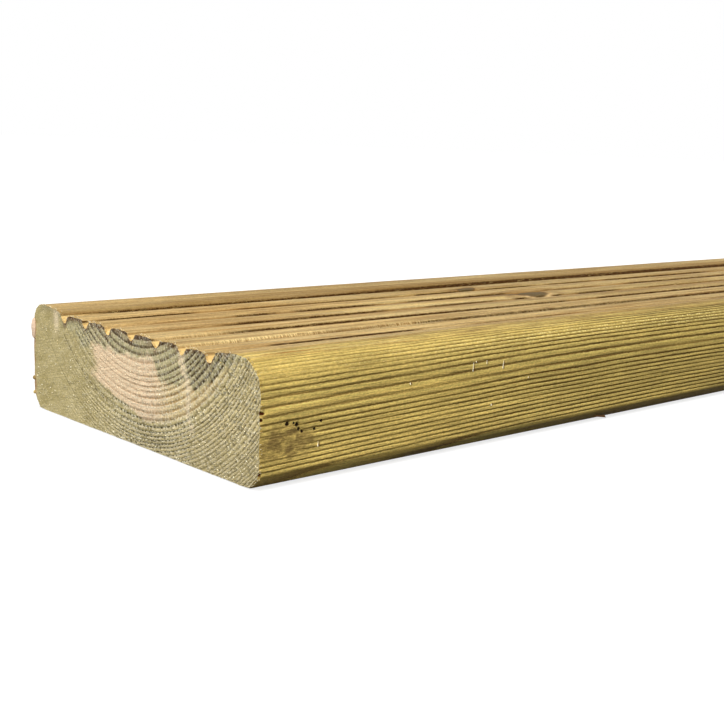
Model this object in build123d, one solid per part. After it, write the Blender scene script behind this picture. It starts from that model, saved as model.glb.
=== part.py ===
from build123d import *
import os

# Softwood decking board, one length of planed stock, lying flat with its grooved face up.
# Millimetres: X runs along the board, Y across it, and Z is up from the underside.
# The origin is the middle of the underside.

# Blank
board_length = 2400.0
board_width = 120.0
board_thickness = 34.0  # at the shoulders, the strips between the grooves and the long edges

# Long edges
front_round = 9.0  # top arris at -Y
back_round = 6.0  # top arris at +Y
underside_chamfer = 4.0  # both lower arrises, at 45 degrees

# Shoulders
shoulder_fall = 0.9  # from the top of the arris down to the groove beside it

# Lands, the ribs between two grooves
land_drop = 1.4  # from the top of the shoulders down to the crest of a land
land_crown = 0.35  # rise of a crest over the land's two edges

# Grooves
first_groove = 20.1  # from the +Y side to the middle of the first groove
groove_pitch = 12.9
groove_depth = 2.6  # below the crests of the lands
groove_mouth = 4.2  # between the edges of two lands
groove_root = 1.2  # flat at the bottom
mouth_round = 0.5
root_round = 0.3

# Levels of the profile
crest_level = board_thickness - land_drop
land_edge_level = crest_level - land_crown
root_level = crest_level - groove_depth
shoulder_edge_level = board_thickness - shoulder_fall

# The grooves repeat at their pitch for as long as the last shoulder is no narrower than the first
groove_count = int((board_width - 2 * first_groove) / groove_pitch) + 1
groove_middles = [board_width / 2 - first_groove - i * groove_pitch for i in range(groove_count)]


def half_opening(level):
    # Half the width of a groove at a level: its two flanks lean alike all the way up
    lean = (groove_mouth - groove_root) / 2 / (land_edge_level - root_level)
    return groove_root / 2 + (level - root_level) * lean


def groove(middle, back_level, front_level):
    # The flank towards +Y, the root and the flank towards -Y, each flank up to its own level
    back_edge = (middle + half_opening(back_level), back_level)
    back_foot = (middle + groove_root / 2, root_level)
    front_foot = (middle - groove_root / 2, root_level)
    front_edge = (middle - half_opening(front_level), front_level)
    return [Line(back_edge, back_foot), Line(back_foot, front_foot), Line(front_foot, front_edge)]


def land(start, end):
    # A crowned rib from one groove's edge to the next
    crest = ((start.X + end.X) / 2, crest_level)
    return ThreePointArc(start, crest, end)


def grooved_top():
    # From the shoulder at +Y, over every groove and land, to the shoulder at -Y
    edges = []
    for number, middle in enumerate(groove_middles):
        is_first = number == 0
        is_last = number == groove_count - 1
        back_level = shoulder_edge_level if is_first else land_edge_level
        front_level = shoulder_edge_level if is_last else land_edge_level
        lines = groove(middle, back_level, front_level)
        if not is_first:
            edges.append(land(edges[-1] @ 1, lines[0] @ 0))
        edges += lines
    return edges


def profile():
    half = board_width / 2
    top = grooved_top()

    back_side = Line((half, underside_chamfer), (half, board_thickness - back_round))
    back_arris = TangentArc(back_side @ 1, (half - back_round, board_thickness), tangent=(0, 1))
    back_shoulder = TangentArc(back_arris @ 1, top[0] @ 0, tangent=(-1, 0))

    front_side = Line((-half, underside_chamfer), (-half, board_thickness - front_round))
    front_arris = TangentArc(front_side @ 1, (front_round - half, board_thickness), tangent=(0, 1))
    front_shoulder = TangentArc(front_arris @ 1, top[-1] @ 1, tangent=(1, 0))

    underside = Line((underside_chamfer - half, 0), (half - underside_chamfer, 0))
    back_chamfer = Line(underside @ 1, back_side @ 0)
    front_chamfer = Line(underside @ 0, front_side @ 0)

    back = [back_chamfer, back_side, back_arris, back_shoulder]
    front = [front_shoulder, front_arris, front_side, front_chamfer]
    face = make_face([underside, *back, *top, *front])

    # Soften the grooves: their feet, and then the edges of the lands and shoulders
    feet = [v for v in face.vertices() if abs(v.Y - root_level) < 0.001]
    face = fillet(feet, root_round)
    edge_levels = (land_edge_level, shoulder_edge_level)
    mouths = [v for v in face.vertices() if any(abs(v.Y - level) < 0.001 for level in edge_levels)]
    return fillet(mouths, mouth_round)


def decking_board():
    start = Plane.YZ.offset(-board_length / 2)
    board = extrude(start * profile(), board_length)
    board.label = "decking_board"
    return board


os.makedirs("parts", exist_ok=True)
export_step(decking_board(), "parts/decking_board.step")
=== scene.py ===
import math
import bpy
import numpy as np
from mathutils import Matrix, Vector
from mathutils.geometry import delaunay_2d_cdt


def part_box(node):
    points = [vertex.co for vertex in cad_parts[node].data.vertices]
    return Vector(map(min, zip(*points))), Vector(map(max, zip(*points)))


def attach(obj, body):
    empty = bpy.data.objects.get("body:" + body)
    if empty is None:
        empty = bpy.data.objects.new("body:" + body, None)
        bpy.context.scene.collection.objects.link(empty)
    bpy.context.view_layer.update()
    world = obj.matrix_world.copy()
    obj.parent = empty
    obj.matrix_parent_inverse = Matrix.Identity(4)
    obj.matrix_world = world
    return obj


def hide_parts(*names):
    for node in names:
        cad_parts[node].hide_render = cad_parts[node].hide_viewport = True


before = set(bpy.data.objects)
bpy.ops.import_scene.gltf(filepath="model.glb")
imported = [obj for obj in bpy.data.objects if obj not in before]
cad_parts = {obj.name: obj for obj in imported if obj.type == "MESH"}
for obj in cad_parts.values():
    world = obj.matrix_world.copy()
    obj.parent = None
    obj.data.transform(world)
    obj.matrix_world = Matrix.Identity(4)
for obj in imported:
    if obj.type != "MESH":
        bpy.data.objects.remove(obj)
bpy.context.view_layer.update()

# A grooved decking board of treated softwood. Shapes are worked out in millimetres: x runs from the
# sawn end along the board, y across it and z up from the underside. Meshes are moved to metres last.
mm = 0.001
cadLow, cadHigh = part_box("decking_board")
boardLength, boardWidth, boardHeight = [size / mm for size in cadHigh - cadLow]
halfWidth = boardWidth / 2
print(f"frame loaded: board {boardLength:.0f} x {boardWidth:.0f} x {boardHeight:.0f} mm")


def smoothNoise(x, y=0.0, z=0.0, seed=1):
    # random values on a lattice, eased from each to the next, between -1 and 1
    latticeSize = 8191
    lattice = np.random.default_rng(seed).uniform(-1, 1, latticeSize)
    places = np.broadcast_arrays(np.asarray(x, float), y, z)
    cells = [np.floor(place).astype(np.int64) for place in places]
    parts = [place - cell for place, cell in zip(places, cells)]
    eased = [part * part * (3 - 2 * part) for part in parts]
    total = np.zeros(places[0].shape)
    for corner in np.ndindex(2, 2, 2):
        weight = 1.0
        key = 0
        for step, cell, share, stride in zip(corner, cells, eased, (7919, 104729, 1299709)):
            weight = weight * (share if step else 1 - share)
            key = key + (cell + step) * stride
        total += weight * lattice[key % latticeSize]
    return total


def easeBetween(value, start, end):
    # 0 before start, 1 after end and smooth between them
    part = np.clip((value - start) / (end - start), 0, 1)
    return part * part * (3 - 2 * part)


def bump(value, middle, reach):
    # 1 at the middle, fading to nothing past its reach
    return np.exp(-(((value - middle) / reach) ** 2))


def follow(value, points):
    # a line through listed points, given as place: height
    return np.interp(value, list(points), list(points.values()))


# Growth rings: cylinders round the tree's heart, which lies above this board
growth = {
    "heartY": -2.0,
    "heartZ": 65.0,
    # radius from the heart: width of the rings there
    "ringWidths": {
        28: 2.4, 39: 2.15, 43: 1.9, 46.5: 1.35, 48.5: 1.45, 51: 2.0, 54: 2.25, 57.5: 1.85, 60.5: 1.2,
        62.8: 0.95, 65: 1.2, 68: 1.05, 70: 1.1, 72: 1.35, 73.3: 1.6, 74.8: 1.05, 77: 0.88, 84: 0.95,
        110: 1.0,
    },
    "darkRadius": 56.5,  # one ring ends here, at the edge of the heartwood
    "darkNumber": 24,
    "ripple": 0.1,  # mm, over a few centimetres
    "swell": 0.35,  # mm, over a hand's width
    "knotBend": 1.6,  # rings that a knot draws aside at its middle
    "knotBendReach": 1.7,  # times the knot's radius
}


def heartAt(x):
    # the heart wanders along the board, so the rings run out of its faces
    y = growth["heartY"] + 1.2 * np.sin(x / 330) - 4.0 * np.sin(x / 780) ** 2
    z = growth["heartZ"] + 1.0 * np.sin((x - 20) / 67 * np.exp(-x / 1500)) + 5.0 * (1 - np.cos(x / 420))
    return y, z


def ringTable():
    step = 0.25
    radii = np.arange(0, 200, step)
    numbers = np.cumsum(step / follow(radii, growth["ringWidths"]))
    start = np.interp(growth["darkRadius"], radii, numbers)
    return radii, numbers - start + growth["darkNumber"]


ringRadii, ringNumbers = ringTable()


def ringWarp(x, y, z):
    ripple = growth["ripple"] * smoothNoise(x / 26, y / 9, z / 9, seed=11)
    swell = growth["swell"] * smoothNoise(x / 150, y / 45, z / 45, seed=12)
    return ripple + swell


# Knots: branches that left the heart and cross the face named by their point
knots = [
    {"x": 186, "y": 8.0, "z": 32.6, "radius": 5.3, "rise": 0.95},
    {"x": 171, "y": 29.5, "z": 32.6, "radius": 2.1, "rise": 1.8},
    {"x": 655, "y": -22.0, "z": 32.6, "radius": 6.5, "rise": 0.25},
    {"x": 690, "y": 31.0, "z": 32.6, "radius": 4.5, "rise": 0.3},
    {"x": 1130, "y": 12.0, "z": 32.6, "radius": 7.5, "rise": 0.3},
    {"x": 1165, "y": -60.0, "z": 19.0, "radius": 5.0, "rise": 0.25},
    {"x": 1610, "y": -34.0, "z": 32.6, "radius": 5.5, "rise": 0.3},
    {"x": 1655, "y": 60.0, "z": 15.0, "radius": 6.0, "rise": 0.25},
    {"x": 2075, "y": 24.0, "z": 32.6, "radius": 7.0, "rise": 0.3},
]


def knotDistance(knot, x, y, z):
    # how far a point is from the middle line of the branch
    heartY, heartZ = heartAt(knot["x"])
    reach = math.hypot(knot["y"] - heartY, knot["z"] - heartZ)
    line = Vector((knot["rise"] * reach, knot["y"] - heartY, knot["z"] - heartZ)).normalized()
    dx, dy, dz = x - knot["x"], y - knot["y"], z - knot["z"]
    along = dx * line.x + dy * line.y + dz * line.z
    return np.sqrt(np.maximum(dx * dx + dy * dy + dz * dz - along * along, 0))


def woodAt(x, y, z):
    # ring number and distance to the nearest knot, in that knot's radii, of each point
    heartY, heartZ = heartAt(x)
    radius = np.hypot(y - heartY, z - heartZ) + ringWarp(x, y, z)
    rings = np.interp(radius, ringRadii, ringNumbers)
    nearest = np.full(np.shape(rings), 9.0)
    for knot in knots:
        size = knot["radius"] * (1 + 0.14 * smoothNoise(x / 3, y / 3, z / 3, seed=21))
        away = knotDistance(knot, x, y, z) / size
        rings = rings - growth["knotBend"] * bump(away, 0, growth["knotBendReach"])
        nearest = np.minimum(nearest, away)
    return rings, nearest


def besideKnots(x, y, z):
    # the dark tail that runs from each knot back along the board, and the pale crescent in front of it
    tail, crescent = np.zeros(np.shape(x)), np.zeros(np.shape(x))
    for knot in knots:
        size = knot["radius"]
        back = (knot["x"] - x) / size
        reach = 1 - easeBetween(back, 1.5, 7.5)
        smear = bump(y, knot["y"] + 0.35 * size, 0.5 * size) * reach * easeBetween(back, -0.5, 0.8)
        tail = np.maximum(tail, smear * (z > boardHeight / 2))
        ring = bump(knotDistance(knot, x, y, z) / size, 1.2, 0.16)
        crescent = np.maximum(crescent, ring * easeBetween(knot["y"] - y, 0.3 * size, 0.9 * size))
    return tail, crescent


# The board's own section, as planed
section = {
    "frontRound": 9.0,
    "backRound": 6.0,
    "chamfer": 4.0,
    "shoulderFall": 0.9,
    "landDrop": 1.4,
    "landCrown": 0.35,
    "firstGroove": 20.1,
    "groovePitch": 12.9,
    "grooveDepth": 2.6,
    "grooveMouth": 4.2,
    "grooveRoot": 1.2,
    "softCorner": 0.3,  # how far the cutter and handling have softened every corner
}

crestLevel = boardHeight - section["landDrop"]
landEdgeLevel = crestLevel - section["landCrown"]
rootLevel = crestLevel - section["grooveDepth"]
grooveCount = int((boardWidth - 2 * section["firstGroove"]) / section["groovePitch"]) + 1
backGroove = halfWidth - section["firstGroove"]
grooveMiddles = [backGroove - i * section["groovePitch"] for i in range(grooveCount)]


def straight(start, end, step=0.1):
    count = max(2, int(math.dist(start, end) / step))
    share = np.linspace(0, 1, count, endpoint=False)[:, None]
    return np.array(start) * (1 - share) + np.array(end) * share


def quarterRound(middle, radius, startAngle, endAngle):
    angles = np.radians(np.linspace(startAngle, endAngle, int(radius * 16), endpoint=False))
    return np.array(middle) + radius * np.stack([np.cos(angles), np.sin(angles)], axis=1)


def shoulder(top, mouth):
    # falls away more and more from the arris to the groove
    share = np.linspace(0, 1, 120, endpoint=False)
    return np.stack([top[0] + (mouth[0] - top[0]) * share, top[1] + (mouth[1] - top[1]) * share**2], axis=1)


def crownedLand(start, end):
    share = np.linspace(0, 1, 87, endpoint=False)
    rise = section["landCrown"] * (1 - (2 * share - 1) ** 2)
    return np.stack([start[0] + (end[0] - start[0]) * share, start[1] + rise], axis=1)


def sharpSection():
    # a closed line: up the front side, over the top, down the back side and along the underside
    s = section
    lean = (s["grooveMouth"] - s["grooveRoot"]) / 2 / (landEdgeLevel - rootLevel)
    halfRoot = s["grooveRoot"] / 2
    shoulderLevel = boardHeight - s["shoulderFall"]
    shoulderReach = halfRoot + (shoulderLevel - rootLevel) * lean
    frontTop = (-halfWidth + s["frontRound"], boardHeight)
    backTop = (halfWidth - s["backRound"], boardHeight)
    frontLow, backLow = (-halfWidth, s["chamfer"]), (halfWidth, s["chamfer"])
    frontFoot, backFoot = (-halfWidth + s["chamfer"], 0), (halfWidth - s["chamfer"], 0)
    frontHigh = (-halfWidth, boardHeight - s["frontRound"])
    backHigh = (halfWidth, boardHeight - s["backRound"])
    runs = [straight(frontFoot, frontLow), straight(frontLow, frontHigh)]
    runs.append(quarterRound((frontTop[0], frontHigh[1]), s["frontRound"], 180, 90))
    edge = (grooveMiddles[-1] - shoulderReach, shoulderLevel)
    runs.append(shoulder(frontTop, edge))
    for middle in reversed(grooveMiddles):
        last = middle == grooveMiddles[0]
        nearFoot, farFoot = (middle - halfRoot, rootLevel), (middle + halfRoot, rootLevel)
        mouth = (middle + s["grooveMouth"] / 2, landEdgeLevel)
        if last:
            mouth = (middle + shoulderReach, shoulderLevel)
        runs += [straight(edge, nearFoot), straight(nearFoot, farFoot), straight(farFoot, mouth)]
        if not last:
            edge = (middle + s["groovePitch"] - s["grooveMouth"] / 2, landEdgeLevel)
            runs.append(crownedLand(mouth, edge))
    runs.append(shoulder(backTop, mouth)[::-1])
    runs.append(quarterRound((backTop[0], backHigh[1]), s["backRound"], 90, 0))
    runs += [straight(backHigh, backLow), straight(backLow, backFoot), straight(backFoot, frontFoot)]
    return np.concatenate(runs)


def evenly(points, step):
    closed = np.vstack([points, points[:1]])
    reach = np.concatenate([[0], np.cumsum(np.hypot(*np.diff(closed, axis=0).T))])
    places = np.linspace(0, reach[-1], int(reach[-1] / step), endpoint=False)
    return np.stack([np.interp(places, reach, closed[:, axis]) for axis in (0, 1)], axis=1)


def softened(points, step, reach):
    # averages each point with its neighbours, which rounds the corners and leaves the flats
    count = int(3 * reach / step)
    weights = np.exp(-0.5 * (np.arange(-count, count + 1) * step / reach) ** 2)
    weights /= weights.sum()
    soft = [sum(w * np.roll(axis, k - count) for k, w in enumerate(weights)) for axis in points.T]
    return np.stack(soft, axis=1)


columnSpacing = {
    "frontSide": 0.62, "frontArris": 0.6, "shoulders": 1.1, "grooves": 0.55, "lands": 1.2,
    "backArris": 1.1, "backSide": 3.0, "underside": 4.0,
}


def spacingAt(y, z):
    c = columnSpacing
    if z < 0.4:
        return c["underside"]
    if y > halfWidth - section["backRound"]:
        return c["backSide"] if z < boardHeight - section["backRound"] else c["backArris"]
    if y < -halfWidth + section["frontRound"]:
        return c["frontSide"] if z < boardHeight - section["frontRound"] else c["frontArris"]
    nearest = min(abs(y - middle) for middle in grooveMiddles)
    if nearest < section["grooveMouth"] / 2 + 0.7:
        return c["grooves"]
    return c["lands"] if abs(y) < abs(grooveMiddles[0]) else c["shoulders"]


def sectionColumns():
    # columns that are close where the shape is fine; their number is even, to halve it later
    step = 0.05
    fine = softened(evenly(sharpSection(), step), step, section["softCorner"])
    spacing = np.array([spacingAt(y, z) for y, z in fine])
    load = np.cumsum(step / spacing)
    count = 2 * int(load[-1] / 2)
    picks = np.searchsorted(load, np.linspace(0, load[-1], count, endpoint=False) + 1e-6)
    points = fine[picks]
    ahead, behind = fine[(picks + 4) % len(fine)], fine[picks - 4]
    along = (ahead - behind) / np.hypot(*(ahead - behind).T)[:, None]
    outward = np.stack([-along[:, 1], along[:, 0]], axis=1)
    return points, outward, picks * step


columns, outward, girth = sectionColumns()
print(f"section: {len(columns)} columns, {grooveCount} grooves")


def heightOf(half, y):
    # height at y of the columns in one half of the section
    return np.interp(y, *half[np.argsort(half[:, 0])].T)


def topHeight(y):
    return heightOf(columns[columns[:, 1] > boardHeight / 2], y)


def undersideHeight(y):
    return heightOf(columns[columns[:, 1] < boardHeight / 2], y)


# Where the cutter tore the grain: groove by groove from the back, (from, to, how much) along the board
tornGrain = [
    [(-9, 30, 0.9), (10, 60, 1.0), (24, 140, 0.85), (90, 440, 1.0)],
    [
        (-9, 4, 1.0), (-4, 50, 0.9), (40, 146, 0.55), (134, 180, 0.95), (172, 220, 0.75), (210, 264, 0.6),
        (250, 360, 1.0),
    ],
    [(0, 50, 0.35), (42, 70, 0.7), (62, 120, 0.85), (112, 192, 0.85), (186, 254, 0.5), (244, 400, 0.7)],
    [(4, 34, 0.35), (20, 116, 0.75), (106, 174, 0.6), (162, 208, 0.9), (198, 246, 0.7), (236, 400, 0.5)],
    [(-9, 3, 0.9), (0, 26, 0.4), (14, 198, 0.95), (180, 220, 0.35), (192, 420, 0.9)],
    [(34, 100, 0.5), (78, 420, 0.9)],
    [(10, 92, 1.0), (88, 174, 0.5), (225, 330, 0.5)],
]
tornBeyond = 440.0  # past the stretches above, noise decides
tornLeast = 0.2
# where the torn edges stand up as pale teeth: groove, from, to, how much
paleTeeth = [(5, -5, 66, 1.0), (5, 56, 112, 0.8), (5, 105, 240, 0.35), (4, -5, 40, 0.4), (4, 130, 200, 0.3)]


def stretchAt(x, start, end, share):
    # fades in and out inside the two ends of a stretch
    soft = min(24, (end - start) / 3)
    return share * easeBetween(x, start, start + soft) * (1 - easeBetween(x, end - soft, end))


def tornAt(x, groove):
    amount = np.full(np.shape(x), tornLeast)
    for part in tornGrain[groove]:
        amount = np.maximum(amount, stretchAt(x, *part))
    beyond = easeBetween(smoothNoise(x / 120, groove * 7.3, seed=31), -0.3, 0.35) * 0.9
    return np.where(x > tornBeyond, beyond, amount)


def teethAt(x, y):
    amount = np.zeros(np.shape(x))
    for groove, *part in paleTeeth:
        amount = np.where(grooveOf(y) == groove, np.maximum(amount, stretchAt(x, *part)), amount)
    return amount


# Relief of the planed faces, in mm inwards from the planed section
relief = {
    "waviness": 0.05,
    "tearDepth": 0.26,
    "tearLength": 2.2,
    "arrisFuzz": 0.05,
    "knotRim": 0.25,
    "pitDepth": 0.9,
    "rimWear": 0.3,
    "rimReach": 1.0,
}

# Open holes beside the dead knot on the front side: (x, z, radius)
frontPits = [
    (8.8, 16.7, 0.6), (10.7, 16.7, 0.28), (12.0, 16.2, 0.55), (12.6, 14.9, 0.5), (13.7, 14.1, 0.36),
    (18.0, 14.2, 0.42), (20.1, 16.1, 0.38), (0.2, 20.4, 0.5), (0.9, 20.3, 0.4), (0.4, 18.6, 0.35),
    (0.3, 4.4, 0.5),
]


def grooveOf(y):
    return np.abs(np.asarray(y)[..., None] - np.array(grooveMiddles)).argmin(axis=-1)


def tearOf(x, y, z):
    # how torn the nearest groove is at x, and how far past its middle the point is
    groove = grooveOf(y)
    past = y - np.array(grooveMiddles)[groove]
    amount = np.zeros(np.shape(y))
    for number in range(grooveCount):
        amount = np.where(groove == number, tornAt(x, number), amount)
    return amount * (z > boardHeight / 2), past


def arrisMask(y, z):
    # the round on the front top edge
    corner = halfWidth - section["frontRound"]
    reach = np.hypot(y + corner, z - boardHeight + section["frontRound"])
    there = (y < -corner + 3) & (z > boardHeight - section["frontRound"] - 3)
    return np.where(there, bump(reach, section["frontRound"], 1.5), 0)


def shapeOf(x, y, z, outY, outZ, run, knotAway):
    # moves points of the plain section inwards by the relief
    base = 1 - easeBetween(z, 0.2, 2.0)
    front = easeBetween(-y, halfWidth - 2.0, halfWidth - 0.6) * (1 - base)
    wave = smoothNoise(x / 70, run / 22, seed=41) + 0.5 * smoothNoise(x / 19, run / 9, seed=42)
    inset = relief["waviness"] * (wave + 0.5) * (1 - base)
    # torn grain lies on the back flank of a groove
    torn, past = tearOf(x, y, z)
    flank = easeBetween(past, 0.1, 0.6) * (1 - easeBetween(past, 1.9, 2.6))
    length = relief["tearLength"]
    ragged = smoothNoise(x / length, run / 0.8, seed=43)
    ragged += 0.6 * smoothNoise(x / length / 3, run / 0.6, seed=44)
    inset = inset + relief["tearDepth"] * torn * flank * np.maximum(ragged + 0.25, -0.2)
    fuzz = 0.4 + smoothNoise(x / 2.2, run / 0.9, seed=45) + 0.6 * smoothNoise(x / 0.9, run / 0.7, seed=49)
    inset = inset + relief["arrisFuzz"] * arrisMask(y, z) * fuzz
    inset = inset + relief["knotRim"] * bump(knotAway, 1.02, 0.18) * (1 - base)
    for pitX, pitZ, pitRadius in frontPits:
        hole = bump(np.hypot(x - pitX, z - pitZ), 0, pitRadius)
        inset = inset + relief["pitDepth"] * front * hole
    # the saw has chipped the rim of both ends
    fromEnd = np.minimum(x, boardLength - x)
    rim = np.clip(1 - fromEnd / relief["rimReach"], 0, 1) ** 2
    chipped = 0.5 + 0.6 * smoothNoise(run / 1.1, x / 50, seed=46)
    chipped += 0.4 * smoothNoise(run / 4.5, x / 50, seed=47)
    inset = inset + relief["rimWear"] * rim * np.clip(chipped, 0, 1.4) * (1 - 0.6 * base)
    return np.stack([x, y - outY * inset, np.maximum(z - outZ * inset, 0)], axis=1)


# Distance from each row of points to the next, by x
rowSpacing = {
    0: 0.4, 4: 0.8, 30: 0.95, 60: 1.4, 150: 1.9, 235: 3.2, 300: 7.0, 420: 15.0, 700: 32.0, 2400: 32.0,
}
coarseFrom = 245.0  # mm; past this every second column is left out, out of the close view


def boardRows():
    # close rows where the board is seen from near, and round its knots
    rows = [0.0]
    while rows[-1] < boardLength:
        x = rows[-1]
        step = follow(x, rowSpacing)
        for knot in knots:
            if abs(x - knot["x"]) < 4.5 * knot["radius"] + 6:
                step = min(step, 3.2)
        toEnd = boardLength - x
        step = min(step, max(0.8, toEnd * 0.35))
        rows.append(x + step if toEnd > 1.4 * step else boardLength)
    return np.array(rows)


def boardSkin():
    rows = boardRows()
    picks = [slice(None) if x < coarseFrom else slice(None, None, 2) for x in rows]
    counts = [len(girth[pick]) for pick in picks]
    starts = np.concatenate([[0], np.cumsum(counts)])
    x = np.repeat(rows, counts)
    y, z = np.concatenate([columns[pick] for pick in picks]).T
    outY, outZ = np.concatenate([outward[pick] for pick in picks]).T
    run = np.concatenate([girth[pick] for pick in picks])
    rings, knotAway = woodAt(x, y, z)
    points = shapeOf(x, y, z, outY, outZ, run, knotAway)
    torn, past = tearOf(x, y, z)
    tail, crescent = besideKnots(x, y, z)
    marks = {"rings": rings, "knotAway": knotAway, "torn": torn, "past": past, "up": outZ,
             "teeth": teethAt(x, y), "knotTail": tail, "knotCrescent": crescent}
    faces = []
    for start, count, nextStart, nextCount in zip(starts, counts, starts[1:], counts[1:]):
        for j in range(nextCount):
            k = (j + 1) % nextCount
            if count == nextCount:
                faces.append((start + j, nextStart + j, nextStart + k, start + k))
                continue
            a, b, c = start + 2 * j, start + 2 * j + 1, start + (2 * j + 2) % count
            faces += [(a, nextStart + j, b), (b, nextStart + k, c), (b, nextStart + j, nextStart + k)]
    return points, faces, marks, counts[0], counts[-1]


# The sawn ends, as marked on the end that faces the camera; u is the distance from the back side
endMarks = {
    # height above which treatment and dirt have stained the wood, by u
    "stainFloor": {
        0: 33.6, 12: 32.9, 17: 31.5, 20: 29.5, 24: 28.5, 28: 27.5, 30: 24.0, 34: 23.5, 36: 26.0, 46: 26.1,
        60: 25.7, 70: 26.3, 72.5: 23.5, 75: 19.8, 81: 20.6, 84: 22.5, 92: 22.0, 95: 22.8, 98: 24.6,
        101: 26.7, 104: 28.7, 107: 30.6, 110: 33.0, 120: 33.8,
    },
    # how dark that stain is, by u
    "stainDarkness": {
        0: 0.4, 19: 0.3, 22: 0.15, 30: 0.35, 36: 0.6, 60: 0.55, 71: 0.4, 76: 0.22, 83: 0.3, 87: 0.95,
        99: 1.0, 106: 0.8, 112: 0.4, 120: 0.3,
    },
    "heartEdge": 23.93,  # ring number at which the pale heartwood ends
    # its back limit by height, and how pale it is by u
    "heartBack": {8: 66, 9.5: 61, 11: 56, 12.5: 50, 14: 45, 16: 38.5, 17: 37.5, 20: 40, 25: 37, 27: 36},
    "heartShare": {0: 1.0, 86: 1.0, 91: 0.9, 97: 0.75, 102: 0.5, 108: 0.0, 120: 0.0},
    # pale ray, u by height
    "ray": {9.2: 90.3, 12: 89.2, 15: 88.0, 18: 87.5, 21: 88.0, 24: 87.0, 26.5: 85.2, 30: 84.2},
    "rayWidth": {9: 0.9, 16: 1.1, 24: 1.3, 31: 1.5},
    "palePatch": (15.0, 30.4, 1.7, 3.4),
    # how clearly the rings stand out, by u
    "clarity": {0: 0.06, 16: 0.1, 30: 0.24, 40: 0.42, 60: 0.6, 75: 0.95, 120: 1.0},
}


def endMasks(x, y, z, rings):
    m = endMarks
    u = halfWidth - y
    lattice = x / 37.0  # the two ends don't share their patterns
    ragged = 1.2 * smoothNoise(y / 2.6, z / 2.6, lattice, seed=71)
    ragged += 0.7 * smoothNoise(y / 0.9, z / 0.9, seed=72)
    # a pale ray from the lower part to the top, and a pale patch nearer the back
    wander = 0.8 * smoothNoise(z / 1.4, lattice, seed=73)
    ray = bump(u - follow(z, m["ray"]) + wander, 0, follow(z, m["rayWidth"])) * easeBetween(z, 8.6, 9.8)
    patchU, patchZ, patchWide, patchHigh = m["palePatch"]
    patch = 0.95 * bump(u, patchU, patchWide) * bump(z, patchZ, patchHigh)
    # stain near the top, darkest where dirt sits on the rim
    belowTop = topHeight(y) - z
    stain = easeBetween(z + ragged - follow(u, m["stainFloor"]), -0.7, 0.9)
    stain = stain * (1 - easeBetween(ray, 0.3, 0.7))
    across = (0.3 * easeBetween(u, 3, 8) + 0.7 * easeBetween(u, 17, 22)) * (1 - easeBetween(u, 104, 111))
    rimDirt = (1 - easeBetween(belowTop + 0.4 * ragged, 0.4, 2.6)) * across
    darkness = np.maximum(follow(u, m["stainDarkness"]) * stain, rimDirt * 0.85)
    pastBack = u - follow(z, m["heartBack"]) + ragged
    heart = easeBetween(m["heartEdge"] - rings, -0.35, 0.2) * easeBetween(pastBack, -2.5, 2.5)
    heart = heart * follow(u, m["heartShare"])
    # the rings are clearest towards the front, under the stain and outside the heartwood
    clarity = follow(u, m["clarity"]) * (1 - 0.35 * heart * (1 - easeBetween(u, 40, 70)))
    clarity = clarity * (1 - 0.4 * easeBetween(u, 72, 84) * (1 - easeBetween(z, 6, 17)))
    clarity = np.maximum(clarity, 0.85 * stain * easeBetween(u, 22, 36))
    # how much the rings stand up in rows of teeth: most below the heartwood
    toothed = easeBetween(u, 42, 56) * (1 - easeBetween(u, 86, 95)) * (1 - easeBetween(z, 11.5, 14.5))
    toothed = np.maximum(0.9 * toothed, np.maximum(0.55 * stain, 0.2 * clarity) * easeBetween(u, 20, 34))
    toothed = toothed * (1 - 0.85 * heart)
    backRim = (1 - easeBetween(u + 0.5 * ragged, 0.3, 1.6)) * easeBetween(z, 2, 5)
    return {"stain": np.maximum(stain, rimDirt), "darkness": darkness, "heart": heart, "clarity": clarity,
            "ray": np.maximum(ray, patch), "rimDirt": rimDirt, "toothed": toothed, "backRim": backRim}


sawnEnd = {
    "ridge": 0.2,  # wood left standing between the dark lines by the saw
    "tooth": 0.16,  # torn specks along the ridges
    "scratch": 0.03,
    "scratchTurn": 0.21,  # radians
    "ringsMet": (8, 64),  # the first and last ring that an end can meet
    "ringSteps": (0.05, 0.3, 0.55, 0.75, 0.92),  # rows of points in each ring
    "halfFan": 1.25,  # radians round the heart, past both sides of the board
    "margin": 0.35,  # mm from the rim
    "nearSpacing": 0.62,
    "farSpacing": 2.4,
}


def endRelief(y, z, rings, arc, clarity):
    # how far the sawn face stands out or in, positive outwards
    part = rings % 1
    ridge = easeBetween(part, 0.0, 0.25) * (1 - easeBetween(part, 0.55, 0.9))
    clarity = clarity * (0.45 + 0.55 * easeBetween(rings, 23.6, 24.3))  # the heartwood is smoother
    teeth = smoothNoise(rings * 1.3, arc / 0.8, seed=51) + 0.7 * smoothNoise(rings * 0.8, arc / 1.7, seed=52)
    turn = sawnEnd["scratchTurn"]
    along = -y * math.cos(turn) + z * math.sin(turn)
    across = y * math.sin(turn) + z * math.cos(turn)
    scratch = smoothNoise(along / 31, across / 1.4, seed=53)
    out = (sawnEnd["ridge"] * (ridge - 0.5) + sawnEnd["tooth"] * teeth * (0.4 + 0.6 * ridge)) * clarity
    return out + sawnEnd["scratch"] * scratch * (1.3 - clarity)


def arcLength(x, y, z):
    # place along a growth ring, so that marks can follow it
    heartY, heartZ = heartAt(x)
    return np.arctan2(y - heartY, heartZ - z) * growth["darkRadius"]


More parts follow.
